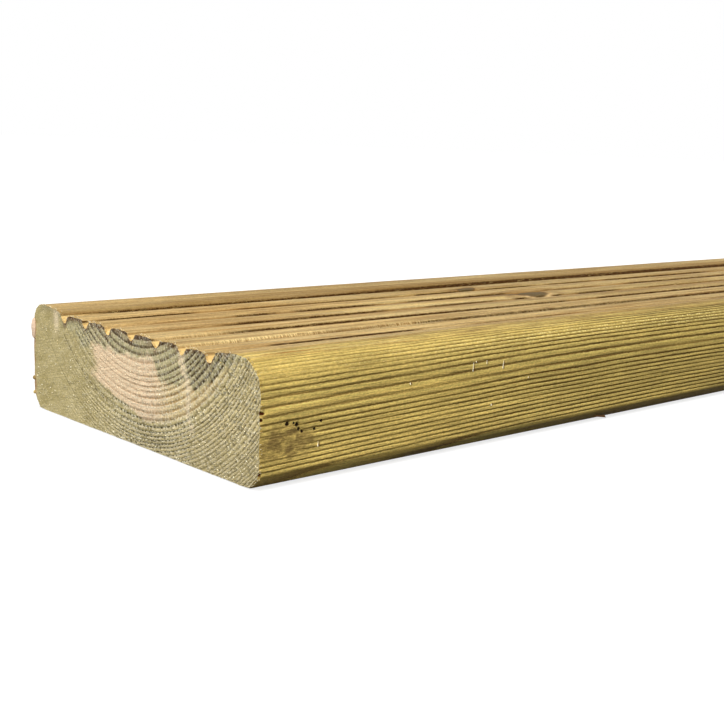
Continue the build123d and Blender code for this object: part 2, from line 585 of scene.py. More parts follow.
def ringPoints(x, spacing):
    # points that follow the growth rings across an end, inside its outline
    heartY, heartZ = heartAt(x)
    random = np.random.default_rng(61)
    found = []
    for number in range(*sawnEnd["ringsMet"]):
        for part in sawnEnd["ringSteps"]:
            target = np.interp(number + part, ringNumbers, ringRadii)
            turn = spacing / target
            angles = np.arange(-sawnEnd["halfFan"], sawnEnd["halfFan"], turn) + random.uniform(0, turn)
            radius = np.full(angles.shape, target)
            # a few rounds settle the points on the warped ring
            for attempt in range(3):
                y, z = heartY + radius * np.sin(angles), heartZ - radius * np.cos(angles)
                radius = target - ringWarp(x, y, z)
            found.append(np.stack([y, z], axis=1))
    y, z = np.concatenate(found).T
    margin = sawnEnd["margin"]
    inHeight = (z < topHeight(y) - margin) & (z > undersideHeight(y) + margin)
    keep = inHeight & (np.abs(y) < halfWidth - 2 * margin)
    return np.stack([y[keep], z[keep]], axis=1)


def endCap(x, rim, spacing):
    # triangles over one end: the rim's own points first, then those along the rings
    inner = ringPoints(x, spacing)
    flat = [Vector(point) for point in np.vstack([rim, inner]).tolist()]
    made = delaunay_2d_cdt(flat, [], [list(range(len(rim)))], 1, 1e-6)
    triangles, origins = made[2], made[3]
    order = [source[0] for source in origins]
    return inner, [[order[i] for i in triangle] for triangle in triangles]


def addFloats(mesh, name, values):
    layer = mesh.attributes.new(name, "FLOAT", "POINT")
    layer.data.foreach_set("value", np.asarray(values, dtype=np.float32))


def toMetres(points):
    origin = np.array([cadLow.x, (cadLow.y + cadHigh.y) / 2, cadLow.z])
    return np.asarray(points) * mm + origin


def newMesh(name, points, faces):
    mesh = bpy.data.meshes.new(name)
    mesh.from_pydata(toMetres(points).tolist(), [], faces)
    return mesh


def addObject(name, data):
    made = bpy.data.objects.new(name, data)
    bpy.context.scene.collection.objects.link(made)
    return made


creaseAngle = 52  # degrees; sharper edges than this aren't shaded as round


def makeBoard():
    points, faces, marks, nearCount, farCount = boardSkin()
    sidePoints, sideFaces = len(points), len(faces)
    nearRim, farRim = points[:nearCount, 1:], points[-farCount:, 1:]
    ends = (
        (0.0, nearRim, 0, sawnEnd["nearSpacing"], 1),
        (boardLength, farRim, len(points) - farCount, sawnEnd["farSpacing"], -1),
    )
    for x, rim, start, spacing, side in ends:
        inner, triangles = endCap(x, rim, spacing)
        y, z = inner.T
        rings = woodAt(np.full(len(y), x), y, z)[0]
        clarity = endMasks(x, y, z, rings)["clarity"]
        out = endRelief(y, z, rings, arcLength(x, y, z), clarity)
        base = len(points)
        points = np.vstack([points, np.stack([x - side * out, y, z], axis=1)])
        for triangle in triangles:
            corner = [start + i if i < len(rim) else base + i - len(rim) for i in triangle]
            faces.append(tuple(corner if side < 0 else corner[::-1]))
    mesh = newMesh("decking board", points, faces)
    mesh.polygons.foreach_set("material_index", [0] * sideFaces + [1] * (len(faces) - sideFaces))
    mesh.polygons.foreach_set("use_smooth", [True] * len(faces))
    x, y, z = points.T
    # the marks of the planed faces, carried on over the ends
    capPoints = points[sidePoints:].T
    capMarks = dict(zip(("rings", "knotAway"), woodAt(*capPoints)))
    none = np.zeros(len(points) - sidePoints)
    marks = {name: np.concatenate([mark, capMarks.get(name, none)]) for name, mark in marks.items()}
    nearEnd = np.where(x > boardLength / 2, boardLength, 0.0)
    values = endMasks(nearEnd, y, z, marks["rings"])
    values.update(marks, arc=arcLength(x, y, z), arris=arrisMask(y, z))
    # depth into a groove: 0 at the edges of its mouth and 1 at its root
    inField = (np.abs(y) < halfWidth - 5) & (z > boardHeight / 2)
    underShoulder = np.abs(y) > grooveMiddles[0]
    mouthLevel = np.where(underShoulder, boardHeight - section["shoulderFall"], landEdgeLevel)
    values["groove"] = np.where(inField, np.clip((mouthLevel - z) / (mouthLevel - rootLevel), 0, 1), 0)
    values["grooveField"] = (np.abs(y) < grooveMiddles[0] + 3.5) & (z > boardHeight / 2)
    for name, value in values.items():
        addFloats(mesh, name, value)
    mesh.set_sharp_from_angle(angle=math.radians(creaseAngle))
    mesh.update()
    triangles = sum(len(face) - 2 for face in faces)
    print(f"board: {len(points)} points, {triangles} triangles")
    return addObject("board_wood", mesh)


board = makeBoard()


# Node helpers
def linkOrSet(tree, socket, value):
    if isinstance(value, bpy.types.NodeSocket):
        tree.links.new(value, socket)
    else:
        socket.default_value = value


def addNode(tree, kind, inputs=None, **settings):
    made = tree.nodes.new(kind)
    for name, value in settings.items():
        setattr(made, name, value)
    for key, value in (inputs or {}).items():
        linkOrSet(tree, made.inputs[key], value)
    return made


def maths(tree, operation, *values):
    return addNode(tree, "ShaderNodeMath", dict(enumerate(values)), operation=operation).outputs[0]


def times(tree, *values):
    # the product of two or more values
    product = values[0]
    for value in values[1:]:
        product = maths(tree, "MULTIPLY", product, value)
    return product


def vectorMaths(tree, operation, *values, output="Vector"):
    made = addNode(tree, "ShaderNodeVectorMath", dict(enumerate(values)), operation=operation)
    return made.outputs[output]


def remap(tree, value, start, end, low=0.0, high=1.0):
    # smooth from low at start to high at end; the four limits may be sockets too
    inputs = {"Value": value, "From Min": start, "From Max": end, "To Min": low, "To Max": high}
    return addNode(tree, "ShaderNodeMapRange", inputs, interpolation_type="SMOOTHSTEP").outputs[0]


def colour(red, green, blue):
    # from the 0 to 255 of a colour picker to the linear values of a shader
    shares = [part / 255 for part in (red, green, blue)]
    linear = [s / 12.92 if s <= 0.04045 else ((s + 0.055) / 1.055) ** 2.4 for s in shares]
    return (*linear, 1.0)


def mixColours(tree, share, first, second, blend="MIX"):
    made = addNode(tree, "ShaderNodeMix", data_type="RGBA", blend_type=blend)
    for index, value in ((0, share), (6, first), (7, second)):
        linkOrSet(tree, made.inputs[index], value)
    return made.outputs[2]


def mixFloats(tree, share, first, second):
    return addNode(tree, "ShaderNodeMix", {0: share, 2: first, 3: second}, data_type="FLOAT").outputs[0]


def brighten(tree, base, factor):
    # multiplies a colour by one varying value
    grey = addNode(tree, "ShaderNodeCombineColor", {0: factor, 1: factor, 2: factor}).outputs[0]
    return mixColours(tree, 1.0, base, grey, "MULTIPLY")


def readFloat(tree, name):
    return addNode(tree, "ShaderNodeAttribute", attribute_name=name).outputs["Fac"]


def readFloats(tree, *names):
    return [readFloat(tree, name) for name in names]


def noise(tree, point, size, detail=3.0, roughness=0.5, stretch=(1, 1, 1), turn=0.0):
    # size is that of the coarsest blotches in mm, and stretch how much longer they are along each axis
    inputs = {"Vector": point, "Scale": stretch, "Rotation": (turn, 0, 0)}
    placed = addNode(tree, "ShaderNodeMapping", inputs, vector_type="TEXTURE").outputs[0]
    inputs = {"Vector": placed, "Scale": 1 / size, "Detail": detail, "Roughness": roughness}
    return addNode(tree, "ShaderNodeTexNoise", inputs).outputs["Fac"]


def boardPoint(tree):
    # object coordinates in millimetres from the sawn end
    where = addNode(tree, "ShaderNodeTexCoord").outputs["Object"]
    inputs = {"Vector": where, "Location": (-cadLow.x / mm, 0, 0), "Scale": (1 / mm, 1 / mm, 1 / mm)}
    return addNode(tree, "ShaderNodeMapping", inputs).outputs[0]


def setRelief(tree, shader, distance, strength, heights):
    # bump from heights that each count by their own weight
    total = 0.0
    for height, weight in heights:
        total = maths(tree, "MULTIPLY_ADD", height, weight, total)
    inputs = {"Height": total, "Distance": distance, "Strength": strength}
    relieved = addNode(tree, "ShaderNodeBump", inputs).outputs[0]
    tree.links.new(relieved, shader.inputs["Normal"])


def setRoughness(tree, shader, grain, low, high, smooth, rough):
    tree.links.new(remap(tree, grain, low, high, smooth, rough), shader.inputs["Roughness"])


def newGroup(name, inputs, outputs):
    group = bpy.data.node_groups.new(name, "ShaderNodeTree")
    for label, kind, value in inputs:
        socket = group.interface.new_socket(label, in_out="INPUT", socket_type=kind)
        if value is not None:
            socket.default_value = value
    for label in outputs:
        group.interface.new_socket(label, in_out="OUTPUT", socket_type="NodeSocketFloat")
    return group, group.nodes.new("NodeGroupInput"), group.nodes.new("NodeGroupOutput")


def fillOutputs(group, result, values):
    for label, value in values.items():
        group.links.new(value, result.inputs[label])
    return group


def placeWith(tree, group, inputs):
    made = addNode(tree, "ShaderNodeGroup", node_tree=group)
    for key, value in inputs.items():
        linkOrSet(tree, made.inputs[key], value)
    return made.outputs


floatSocket, vectorSocket = "NodeSocketFloat", "NodeSocketVector"
pointInput = [("Point", vectorSocket, None)]


def perRing(group, number):
    # a random value that each ring keeps along its whole length
    whole = maths(group, "FLOOR", number)
    return addNode(group, "ShaderNodeTexWhiteNoise", {"W": whole}, noise_dimensions="1D").outputs["Value"]


def makeRingGroup():
    # dark latewood at the end of each ring, every ring with its own strength
    inputs = [
        ("Ring Number", floatSocket, 0.0),
        ("Line Share", floatSocket, 0.3),
        ("Unevenness", floatSocket, 0.5),
    ]
    group, given, result = newGroup("growth ring lines", inputs, ["Latewood", "Glow", "Ring Tone"])
    number = given.outputs["Ring Number"]
    part = maths(group, "FRACT", number)
    start = maths(group, "SUBTRACT", 0.97, given.outputs["Line Share"])
    line = times(group, remap(group, part, start, 0.92), remap(group, part, 0.95, 1.0, 1.0, 0.0))
    own = perRing(group, number)
    weak = times(group, own, given.outputs["Unevenness"])
    return fillOutputs(group, result, {
        "Latewood": times(group, line, maths(group, "SUBTRACT", 1.0, weak)),
        # Glow: a band just after each dark line, which the materials paint pale, as paler wood and as
        # painted highlight
        "Glow": times(group, remap(group, part, 0.0, 0.12), remap(group, part, 0.45, 0.15)),
        "Ring Tone": own,
    })


def makeFibreGroup():
    # streaks of the wood's fibres along the board, from broad to hair fine: (size, detail, length)
    streaks = {"Broad": (4.5, 4, 20), "Fine": (0.7, 5, 22), "Pores": (0.42, 3, 6)}
    group, given, result = newGroup("wood fibres", pointInput, list(streaks))
    point = given.outputs["Point"]
    return fillOutputs(group, result, {
        label: noise(group, point, size, detail, 0.6, (length, 1, 1))
        for label, (size, detail, length) in streaks.items()
    })


def makeTintGroup():
    # uneven take-up of the treatment, as patches of green and of warm wood: (size, from, to)
    patches = {"Green": (33, 0.4, 0.62), "Warm": (22, 0.42, 0.66)}
    group, given, result = newGroup("treatment tint", pointInput, list(patches))
    made = {}
    for label, (size, low, high) in patches.items():
        shifted = vectorMaths(group, "ADD", given.outputs["Point"], (size * 29, 31.0, 17.0))
        made[label] = remap(group, noise(group, shifted, size, 3, 0.5, (3, 1, 1)), low, high)
    return fillOutputs(group, result, made)


def makeSpeckGroup():
    # rows of torn specks that follow the rings of a sawn face
    inputs = [("Ring Number", floatSocket, 0.0), ("Arc", floatSocket, 0.0), ("Length", floatSocket, 1.2)]
    group, given, result = newGroup("torn specks", inputs, ["Light", "Dark", "Chop", "Row"])
    number = given.outputs["Ring Number"]
    along = maths(group, "DIVIDE", given.outputs["Arc"], given.outputs["Length"])
    where = addNode(group, "ShaderNodeCombineXYZ", {0: number, 1: along}).outputs[0]
    inputs = {"Vector": where, "Scale": 1.0, "Randomness": 0.85}
    cells = addNode(group, "ShaderNodeTexVoronoi", voronoi_dimensions="2D")
    for key, value in inputs.items():
        linkOrSet(group, cells.inputs[key], value)
    own = addNode(group, "ShaderNodeSeparateColor", {0: cells.outputs["Color"]}).outputs
    spot = remap(group, cells.outputs["Distance"], 0.48, 0.16)
    inputs = {"Vector": where, "Scale": 1.3, "Detail": 3.0}
    chop = addNode(group, "ShaderNodeTexNoise", inputs).outputs["Fac"]
    # teeth in a row along each ring: 1 on a tooth and 0 in the gap after it
    offset = maths(group, "MULTIPLY_ADD", chop, 1.8, perRing(group, number))
    place = maths(group, "MULTIPLY_ADD", along, 0.72, offset)
    return fillOutputs(group, result, {
        "Light": times(group, spot, remap(group, own[0], 0.66, 0.82)),
        "Dark": times(group, spot, remap(group, own[1], 0.36, 0.16)),
        "Chop": chop,
        "Row": remap(group, maths(group, "PINGPONG", place, 0.5), 0.12, 0.3),
    })


ringGroup = makeRingGroup()
fibreGroup = makeFibreGroup()
tintGroup = makeTintGroup()
speckGroup = makeSpeckGroup()
print("node groups made")


def newMaterial(name, specular):
    material = bpy.data.materials.new(name)
    material.use_nodes = True
    tree = material.node_tree
    shader = tree.nodes["Principled BSDF"]
    shader.inputs["Specular IOR Level"].default_value = specular
    return material, tree, shader


def layOver(tree, base, palette, layers):
    # lays colours over the base, one after another: how much of each, and its name
    for share, name in layers:
        base = mixColours(tree, share, base, palette[name])
    return base


planed = {
    "sapLight": colour(228, 196, 108),
    "sapGreen": colour(211, 182, 101),
    "topYellow": colour(204, 178, 102),
    "heartLight": colour(210, 180, 122),
    "heartWarm": colour(196, 164, 106),
    "lateSide": colour(88, 50, 10),
    "lateTop": colour(150, 114, 60),
    "glow": colour(240, 217, 124),
    "lifted": colour(255, 236, 150),
    "streakDark": colour(148, 106, 52),
    "streakPale": colour(232, 208, 156),
    "shade": colour(116, 84, 34),
    "backEdge": colour(150, 104, 66),
    "tornDark": colour(66, 40, 8),
    "tornAndShadeBrown": colour(138, 98, 44),
    "grooveFresh": colour(242, 208, 138),
    "toothPale": colour(252, 226, 160),
    "knotDark": colour(92, 76, 46),
    "knotBrown": colour(150, 102, 48),
    "knotCream": colour(240, 206, 146),
    "knotTail": colour(82, 54, 14),
    "smudge": colour(134, 111, 62),
    "pit": colour(34, 18, 6),
    "pitRim": colour(84, 40, 16),
    "roughness": 0.74,
    "specular": 0.08,
    "heartEdge": 24.0,  # ring number
    "bumpDistance": 0.0005,
    "bumpStrength": 0.9,
}

# Dead knot in the front side, cut along its length
frontKnot = {"x": 8.0, "z": 11.6, "reachX": 11.5, "reachY": 4.0, "reachZ": 5.6}


def topMasks(tree, x, y):
    # how far a point belongs to the top, for the colours of the wood and for its ring lines
    up, inGrooves = readFloats(tree, "up", "grooveField")
    # the front arris is as yellow as the side
    topFrom = remap(tree, y, -30.0, -45.0, 0.45, 0.84)
    topTo = remap(tree, y, -30.0, -45.0, 0.9, 0.985)
    isTop = maths(tree, "MAXIMUM", remap(tree, up, topFrom, topTo), inGrooves)
    # the side shows its rings as thin dark lines, the top as soft bands
    bandsFrom = remap(tree, x, 60.0, 220.0, 0.8, 0.94)
    banded = maths(tree, "MAXIMUM", remap(tree, up, bandsFrom, 0.992), inGrooves)
    return isTop, banded


def planedRings(tree, point, rings):
    # ring lines with the small waves of their fibres
    ripple = noise(tree, point, 1.1, 3, 0.55, (14, 1, 1))
    jagged = noise(tree, point, 0.5, 2, 0.5, (2.5, 1, 1))
    wavy = maths(tree, "ADD", rings, maths(tree, "MULTIPLY_ADD", ripple, 0.26, -0.24))
    wavy = maths(tree, "MULTIPLY_ADD", jagged, 0.22, wavy)
    return placeWith(tree, ringGroup, {"Ring Number": wavy, "Line Share": 0.4, "Unevenness": 0.3})


def plainWood(tree, point, y, rings, isTop):
    # sapwood and heartwood, with the streaks of the top
    p = planed
    tints = placeWith(tree, tintGroup, {"Point": point})
    sap = mixColours(tree, tints["Green"], p["sapLight"], p["sapGreen"])
    sap = mixColours(tree, isTop, sap, p["topYellow"])
    heart = mixColours(tree, tints["Warm"], p["heartLight"], p["heartWarm"])
    isHeart = remap(tree, rings, p["heartEdge"] + 0.4, p["heartEdge"] - 1.2)
    browned = times(tree, remap(tree, y, 36.0, 44.0), isTop)
    base = mixColours(tree, maths(tree, "MAXIMUM", isHeart, browned), sap, heart)
    streaks = noise(tree, point, 1.5, 4, 0.62, (45, 1, 1))
    thread = remap(tree, noise(tree, point, 0.6, 3, 0.6, (70, 1, 1)), 0.53, 0.64)
    thread = times(tree, thread, remap(tree, y, -38.0, -42.0, 0.5, 0.95))
    base = layOver(tree, base, p, [
        (times(tree, remap(tree, streaks, 0.48, 0.66), isTop, 0.6), "streakDark"),
        (times(tree, thread, isTop), "streakDark"),
        (times(tree, remap(tree, streaks, 0.46, 0.3), isTop, 0.4), "streakPale"),
    ])
    shoulders = times(tree, remap(tree, y, 36.0, 44.0, 1.0, 0.96), remap(tree, y, -36.0, -41.0, 1.0, 0.95))
    return brighten(tree, base, mixFloats(tree, isTop, 1.0, shoulders))


def deadKnot(tree, point):
    # where a dead knot on the front side fades the lines and leaves a brown smudge
    centre = (frontKnot["x"], -halfWidth, frontKnot["z"])
    size = (frontKnot["reachX"], frontKnot["reachY"], frontKnot["reachZ"])
    scaled = vectorMaths(tree, "DIVIDE", vectorMaths(tree, "SUBTRACT", point, centre), size)
    gap = vectorMaths(tree, "LENGTH", scaled, output="Value")
    blur = maths(tree, "MULTIPLY_ADD", noise(tree, point, 3.0, 4, 0.65), 1.1, -0.55)
    return remap(tree, maths(tree, "ADD", gap, blur), 1.1, 0.5)


def drawRings(tree, base, point, x, z, banded, smudge, lines):
    # dark latewood, with a pale band after it: partly paler earlywood, partly a painted highlight beside
    # each line
    p = planed
    lateColour = mixColours(tree, banded, p["lateSide"], p["lateTop"])
    strength = remap(tree, banded, 0.0, 1.0, 1.0, 0.55)
    strength = times(tree, strength, remap(tree, x, 10.0, 140.0, 0.77, 1.04))
    fainter = mixFloats(tree, remap(tree, z, 26.0, 29.5), 1.0, remap(tree, x, 10.0, 110.0, 0.5, 1.0))
    strength = times(tree, strength, fainter)
    patchy = remap(tree, noise(tree, point, 5.0, 3, 0.6, (9, 1, 1)), 0.3, 0.6, 0.68, 1.0)
    clear = maths(tree, "MULTIPLY_ADD", smudge, -0.85, 1.0)
    visible = times(tree, strength, patchy, clear)
    late = times(tree, lines["Latewood"], visible)
    glow = times(tree, lines["Glow"], visible, remap(tree, banded, 0.0, 1.0, 0.7, 0.25))
    base = mixColours(tree, glow, base, p["glow"])
    return mixColours(tree, late, base, lateColour), late


def planedTone(tree, point, x, y, z, isTop, banded, fibres, ownTone):
    # brightness of the wood, from its fibres and from where it lies
    streak = remap(tree, fibres["Broad"], 0.3, 0.7, 0.86, 1.08)
    # the front shoulder is the hairiest
    hairDark = mixFloats(tree, isTop, 0.74, remap(tree, y, -38.0, -42.0, 0.74, 0.58))
    hairPale = mixFloats(tree, isTop, 1.2, remap(tree, y, -38.0, -42.0, 1.2, 1.4))
    hair = remap(tree, fibres["Fine"], 0.25, 0.75, hairDark, hairPale)
    pores = remap(tree, fibres["Pores"], 0.3, 0.5, 0.8, 1.04)
    grains = remap(tree, noise(tree, point, 0.6, 3, 0.6, (1.6, 1, 1)), 0.3, 0.7, 0.84, 1.16)
    ringTone = remap(tree, ownTone, 0.0, 1.0, 0.95, 1.04)
    farTone = remap(tree, x, 60.0, 240.0, 1.0, 0.84)
    nearTone = maths(tree, "MULTIPLY_ADD", remap(tree, x, 15.0, 85.0), -0.18, 1.18)
    nearTone = mixFloats(tree, remap(tree, z, 23.0, 28.0), nearTone, remap(tree, x, 30.0, 10.0, 0.92, 1.03))
    nearTone = mixFloats(tree, isTop, nearTone, 0.95)
    # away from the sawn end the front arris is darker than the side below it
    upper = times(tree, remap(tree, z, 26.0, 30.0), remap(tree, x, 70.0, 190.0))
    upper = times(tree, upper, remap(tree, banded, 0.0, 1.0, 0.26, 0.04))
    upperTone = maths(tree, "SUBTRACT", 1.0, upper)
    # painted shade on the faces that look down: the underside is darkened, and so is the foot of each lower
    # arris, whose top is a touch lighter
    up = readFloat(tree, "up")
    above = maths(tree, "SUBTRACT", z, remap(tree, x, 40.0, 200.0, 2.2, 3.7))
    undersideShade = mixFloats(tree, remap(tree, x, 15.0, 60.0), 0.85, remap(tree, above, -0.6, 0.5, 0.36, 1.1))
    undersideShade = mixFloats(tree, remap(tree, up, -0.8, -0.95), undersideShade, 0.5)
    undersideShade = mixFloats(tree, remap(tree, up, -0.3, -0.68), 1.0, undersideShade)
    return times(tree, streak, hair, pores, grains, ringTone, farTone, nearTone, upperTone, undersideShade)


def liftFibres(tree, base, point, x, z, glow):
    # lifted fibres along the front top edge catch light, more so away from the end
    comb = noise(tree, point, 0.55, 2, 0.5, (1.6, 1.0, 1.0))
    band = times(tree, remap(tree, z, 28.8, 30.4), remap(tree, z, 32.9, 31.8))
    fuzzy = times(tree, readFloat(tree, "arris"), band, remap(tree, x, 30.0, 130.0, 0.3, 1.0))
    lifted = times(tree, glow, remap(tree, comb, 0.5, 0.58), fuzzy)
    return mixColours(tree, lifted, base, planed["lifted"]), times(tree, fuzzy, comb)


def shadeBack(tree, base, x, y, z, isTop):
    # painted shade: the back shoulder darkens towards its groove, where it slopes down into shade, and its
    # outer edge is brown
    towards = times(tree, remap(tree, y, 49.5, 42.5), remap(tree, y, 39.5, 41.0))
    shade = times(tree, towards, remap(tree, x, 10.0, 150.0, 0.35, 0.6), isTop)
    edge = times(tree, remap(tree, y, 56.4, 58.8, 0.0, 0.6), remap(tree, z, 26.0, 31.0))
    return layOver(tree, base, planed, [(shade, "shade"), (edge, "backEdge")])


def tearGrooves(tree, base, point, x, y, rag):
    # torn grain on the back flanks of the grooves, painted darkest low in the groove: partly the torn wood's
    # own colour, partly painted shade of the groove and of the holes the fibres left; in places with pale
    # teeth before it
    p = planed
    torn, past, groove, teeth = readFloats(tree, "torn", "past", "groove", "teeth")
    ticks = noise(tree, point, 0.36, 1, 0.5, (1.0, 8, 8))
    depth = maths(tree, "ADD", groove, maths(tree, "MULTIPLY_ADD", ticks, 0.24, -0.12))
    isBack = times(tree, remap(tree, past, 0.0, 0.5), remap(tree, past, 3.3, 2.7))
    # the flank under the back shoulder is taller, and darkens from its foot up
    taller = times(tree, remap(tree, y, 38.0, 40.0), remap(tree, x, 60.0, 210.0, -0.22, 0.04))
    # in the groove beside the front shoulder it reaches up to the edge of the land
    taller = maths(tree, "ADD", taller, remap(tree, y, -32.0, -34.0, 0.0, 0.25))
    deep = times(tree, remap(tree, maths(tree, "ADD", depth, taller), 0.05, 0.22), isBack)
    fresh = times(tree, remap(tree, groove, 0.28, 0.5), remap(tree, x, 22.0, 4.0, 0.0, 0.9))
    tornHere = times(tree, remap(tree, torn, 0.05, 0.8), deep, remap(tree, rag, 0.3, 0.55, 0.7, 1.0))
    tornColour = mixColours(tree, remap(tree, tornHere, 0.3, 0.8), p["tornAndShadeBrown"], p["tornDark"])
    tooth = times(tree, teeth, remap(tree, ticks, 0.46, 0.58), isBack, remap(tree, past, 2.7, 2.2), 0.75)
    # painted shade: every groove darkens in brown with its depth
    base = mixColours(tree, times(tree, remap(tree, groove, 0.0, 0.4), 0.5), base, p["tornAndShadeBrown"])
    base = mixColours(tree, tornHere, base, tornColour)
    return layOver(tree, base, p, [(fresh, "grooveFresh"), (tooth, "toothPale")]), tornHere


def paintKnots(tree, base, rag):
    # a grey-brown core with a dark ring, a warm halo, a pale crescent and a dark tail
    away, tail, crescent = readFloats(tree, "knotAway", "knotTail", "knotCrescent")
    core = remap(tree, maths(tree, "ADD", away, maths(tree, "MULTIPLY_ADD", rag, 0.5, -0.25)), 1.1, 0.8)
    rim = times(tree, remap(tree, away, 0.75, 0.98), remap(tree, away, 1.3, 1.02))
    return layOver(tree, base, planed, [
        (remap(tree, away, 1.8, 1.0, 0.0, 0.4), "knotBrown"),
        (times(tree, tail, 0.85), "knotTail"),
        (times(tree, rim, 0.7), "tornDark"),
        (times(tree, crescent, 0.85), "knotCream"),
        (times(tree, core, 0.95), "knotDark"),
    ])


def paintPits(tree, base, point, x, y, z):
    # painted shade: open pits in the front side, dark inside, browner at the sawn end
    p = planed
    flat = addNode(tree, "ShaderNodeCombineXYZ", {0: x, 1: 0.0, 2: z}).outputs[0]
    uneven = maths(tree, "MULTIPLY_ADD", noise(tree, point, 0.5, 2, 0.6), 0.6, -0.3)
    hole = 0.0
    for pitX, pitZ, pitRadius in frontPits:
        gap = vectorMaths(tree, "DISTANCE", flat, (pitX, 0.0, pitZ), output="Value")
        inside = remap(tree, maths(tree, "ADD", gap, uneven), pitRadius * 1.3, pitRadius * 0.6)
        hole = maths(tree, "MAXIMUM", hole, inside)
    hole = times(tree, hole, remap(tree, y, 6.0 - halfWidth, 3.0 - halfWidth))
    pitColour = mixColours(tree, remap(tree, x, 1.5, 3.5), p["pitRim"], p["pit"])
    return mixColours(tree, hole, base, pitColour), hole


def makePlanedMaterial():
    p = planed
    material, tree, shader = newMaterial("planed softwood", p["specular"])
    point = boardPoint(tree)
    x, y, z = addNode(tree, "ShaderNodeSeparateXYZ", {"Vector": point}).outputs
    rings = readFloat(tree, "rings")
    isTop, banded = topMasks(tree, x, y)
    lines = planedRings(tree, point, rings)
    fibres = placeWith(tree, fibreGroup, {"Point": point})
    rag = noise(tree, point, 1.0, 4, 0.65, (3.0, 1, 1))
    mottled = noise(tree, point, 1.6, 4, 0.7, (2.2, 1, 1))
    smudge = deadKnot(tree, point)

    base = plainWood(tree, point, y, rings, isTop)
    base, late = drawRings(tree, base, point, x, z, banded, smudge, lines)
    base = mixColours(tree, times(tree, smudge, remap(tree, mottled, 0.3, 0.58)), base, p["smudge"])
    tone = planedTone(tree, point, x, y, z, isTop, banded, fibres, lines["Ring Tone"])
    base = brighten(tree, base, tone)
    base, fuzz = liftFibres(tree, base, point, x, z, lines["Glow"])
    base = shadeBack(tree, base, x, y, z, isTop)
    base, tornHere = tearGrooves(tree, base, point, x, y, rag)
    base = paintKnots(tree, base, rag)
    base, hole = paintPits(tree, base, point, x, y, z)
    tree.links.new(base, shader.inputs["Base Color"])

    setRoughness(tree, shader, fibres["Fine"], 0.2, 0.8, p["roughness"] - 0.1, p["roughness"] + 0.12)
    setRelief(tree, shader, p["bumpDistance"], p["bumpStrength"], [
        (late, -0.9), (fibres["Fine"], 0.6), (fibres["Pores"], 0.4), (fuzz, 0.5),
        (tornHere, -0.8), (hole, -1.5),
    ])
    return material


sawn = {
    "sapLight": colour(210, 194, 142),
    "sapDark": colour(184, 168, 114),
    "sapPale": colour(230, 211, 156),
    "heartPink": colour(252, 222, 182),
    "heartYellow": colour(236, 212, 158),
    "lateTint": colour(148, 138, 104),  # multiplied over the wood
    "heartLate": colour(206, 180, 152),
    "heartCrest": colour(255, 240, 208),
    "stainCrest": colour(228, 216, 174),
    "crack": colour(84, 74, 40),
    "stainLight": colour(200, 190, 144),
    "stainGreen": colour(198, 196, 148),
    "stainDark": colour(62, 48, 26),
    "dirt": colour(94, 54, 34),
    "ray": colour(255, 234, 196),
    "fleck": colour(255, 247, 216),
    "hollowShade": colour(98, 90, 50),
    "gap": colour(80, 73, 38),
    "backRim": colour(176, 128, 92),
    "roughness": 0.85,
    "specular": 0.08,
    "bumpDistance": 0.0006,
    "bumpStrength": 0.8,
}

# Thin cracks that follow two of the rings: (ring number, front end, back end, how dark)
cracks = [(24.15, 8.0, 46.0, 0.7), (31.6, 18.0, 54.0, 0.5)]


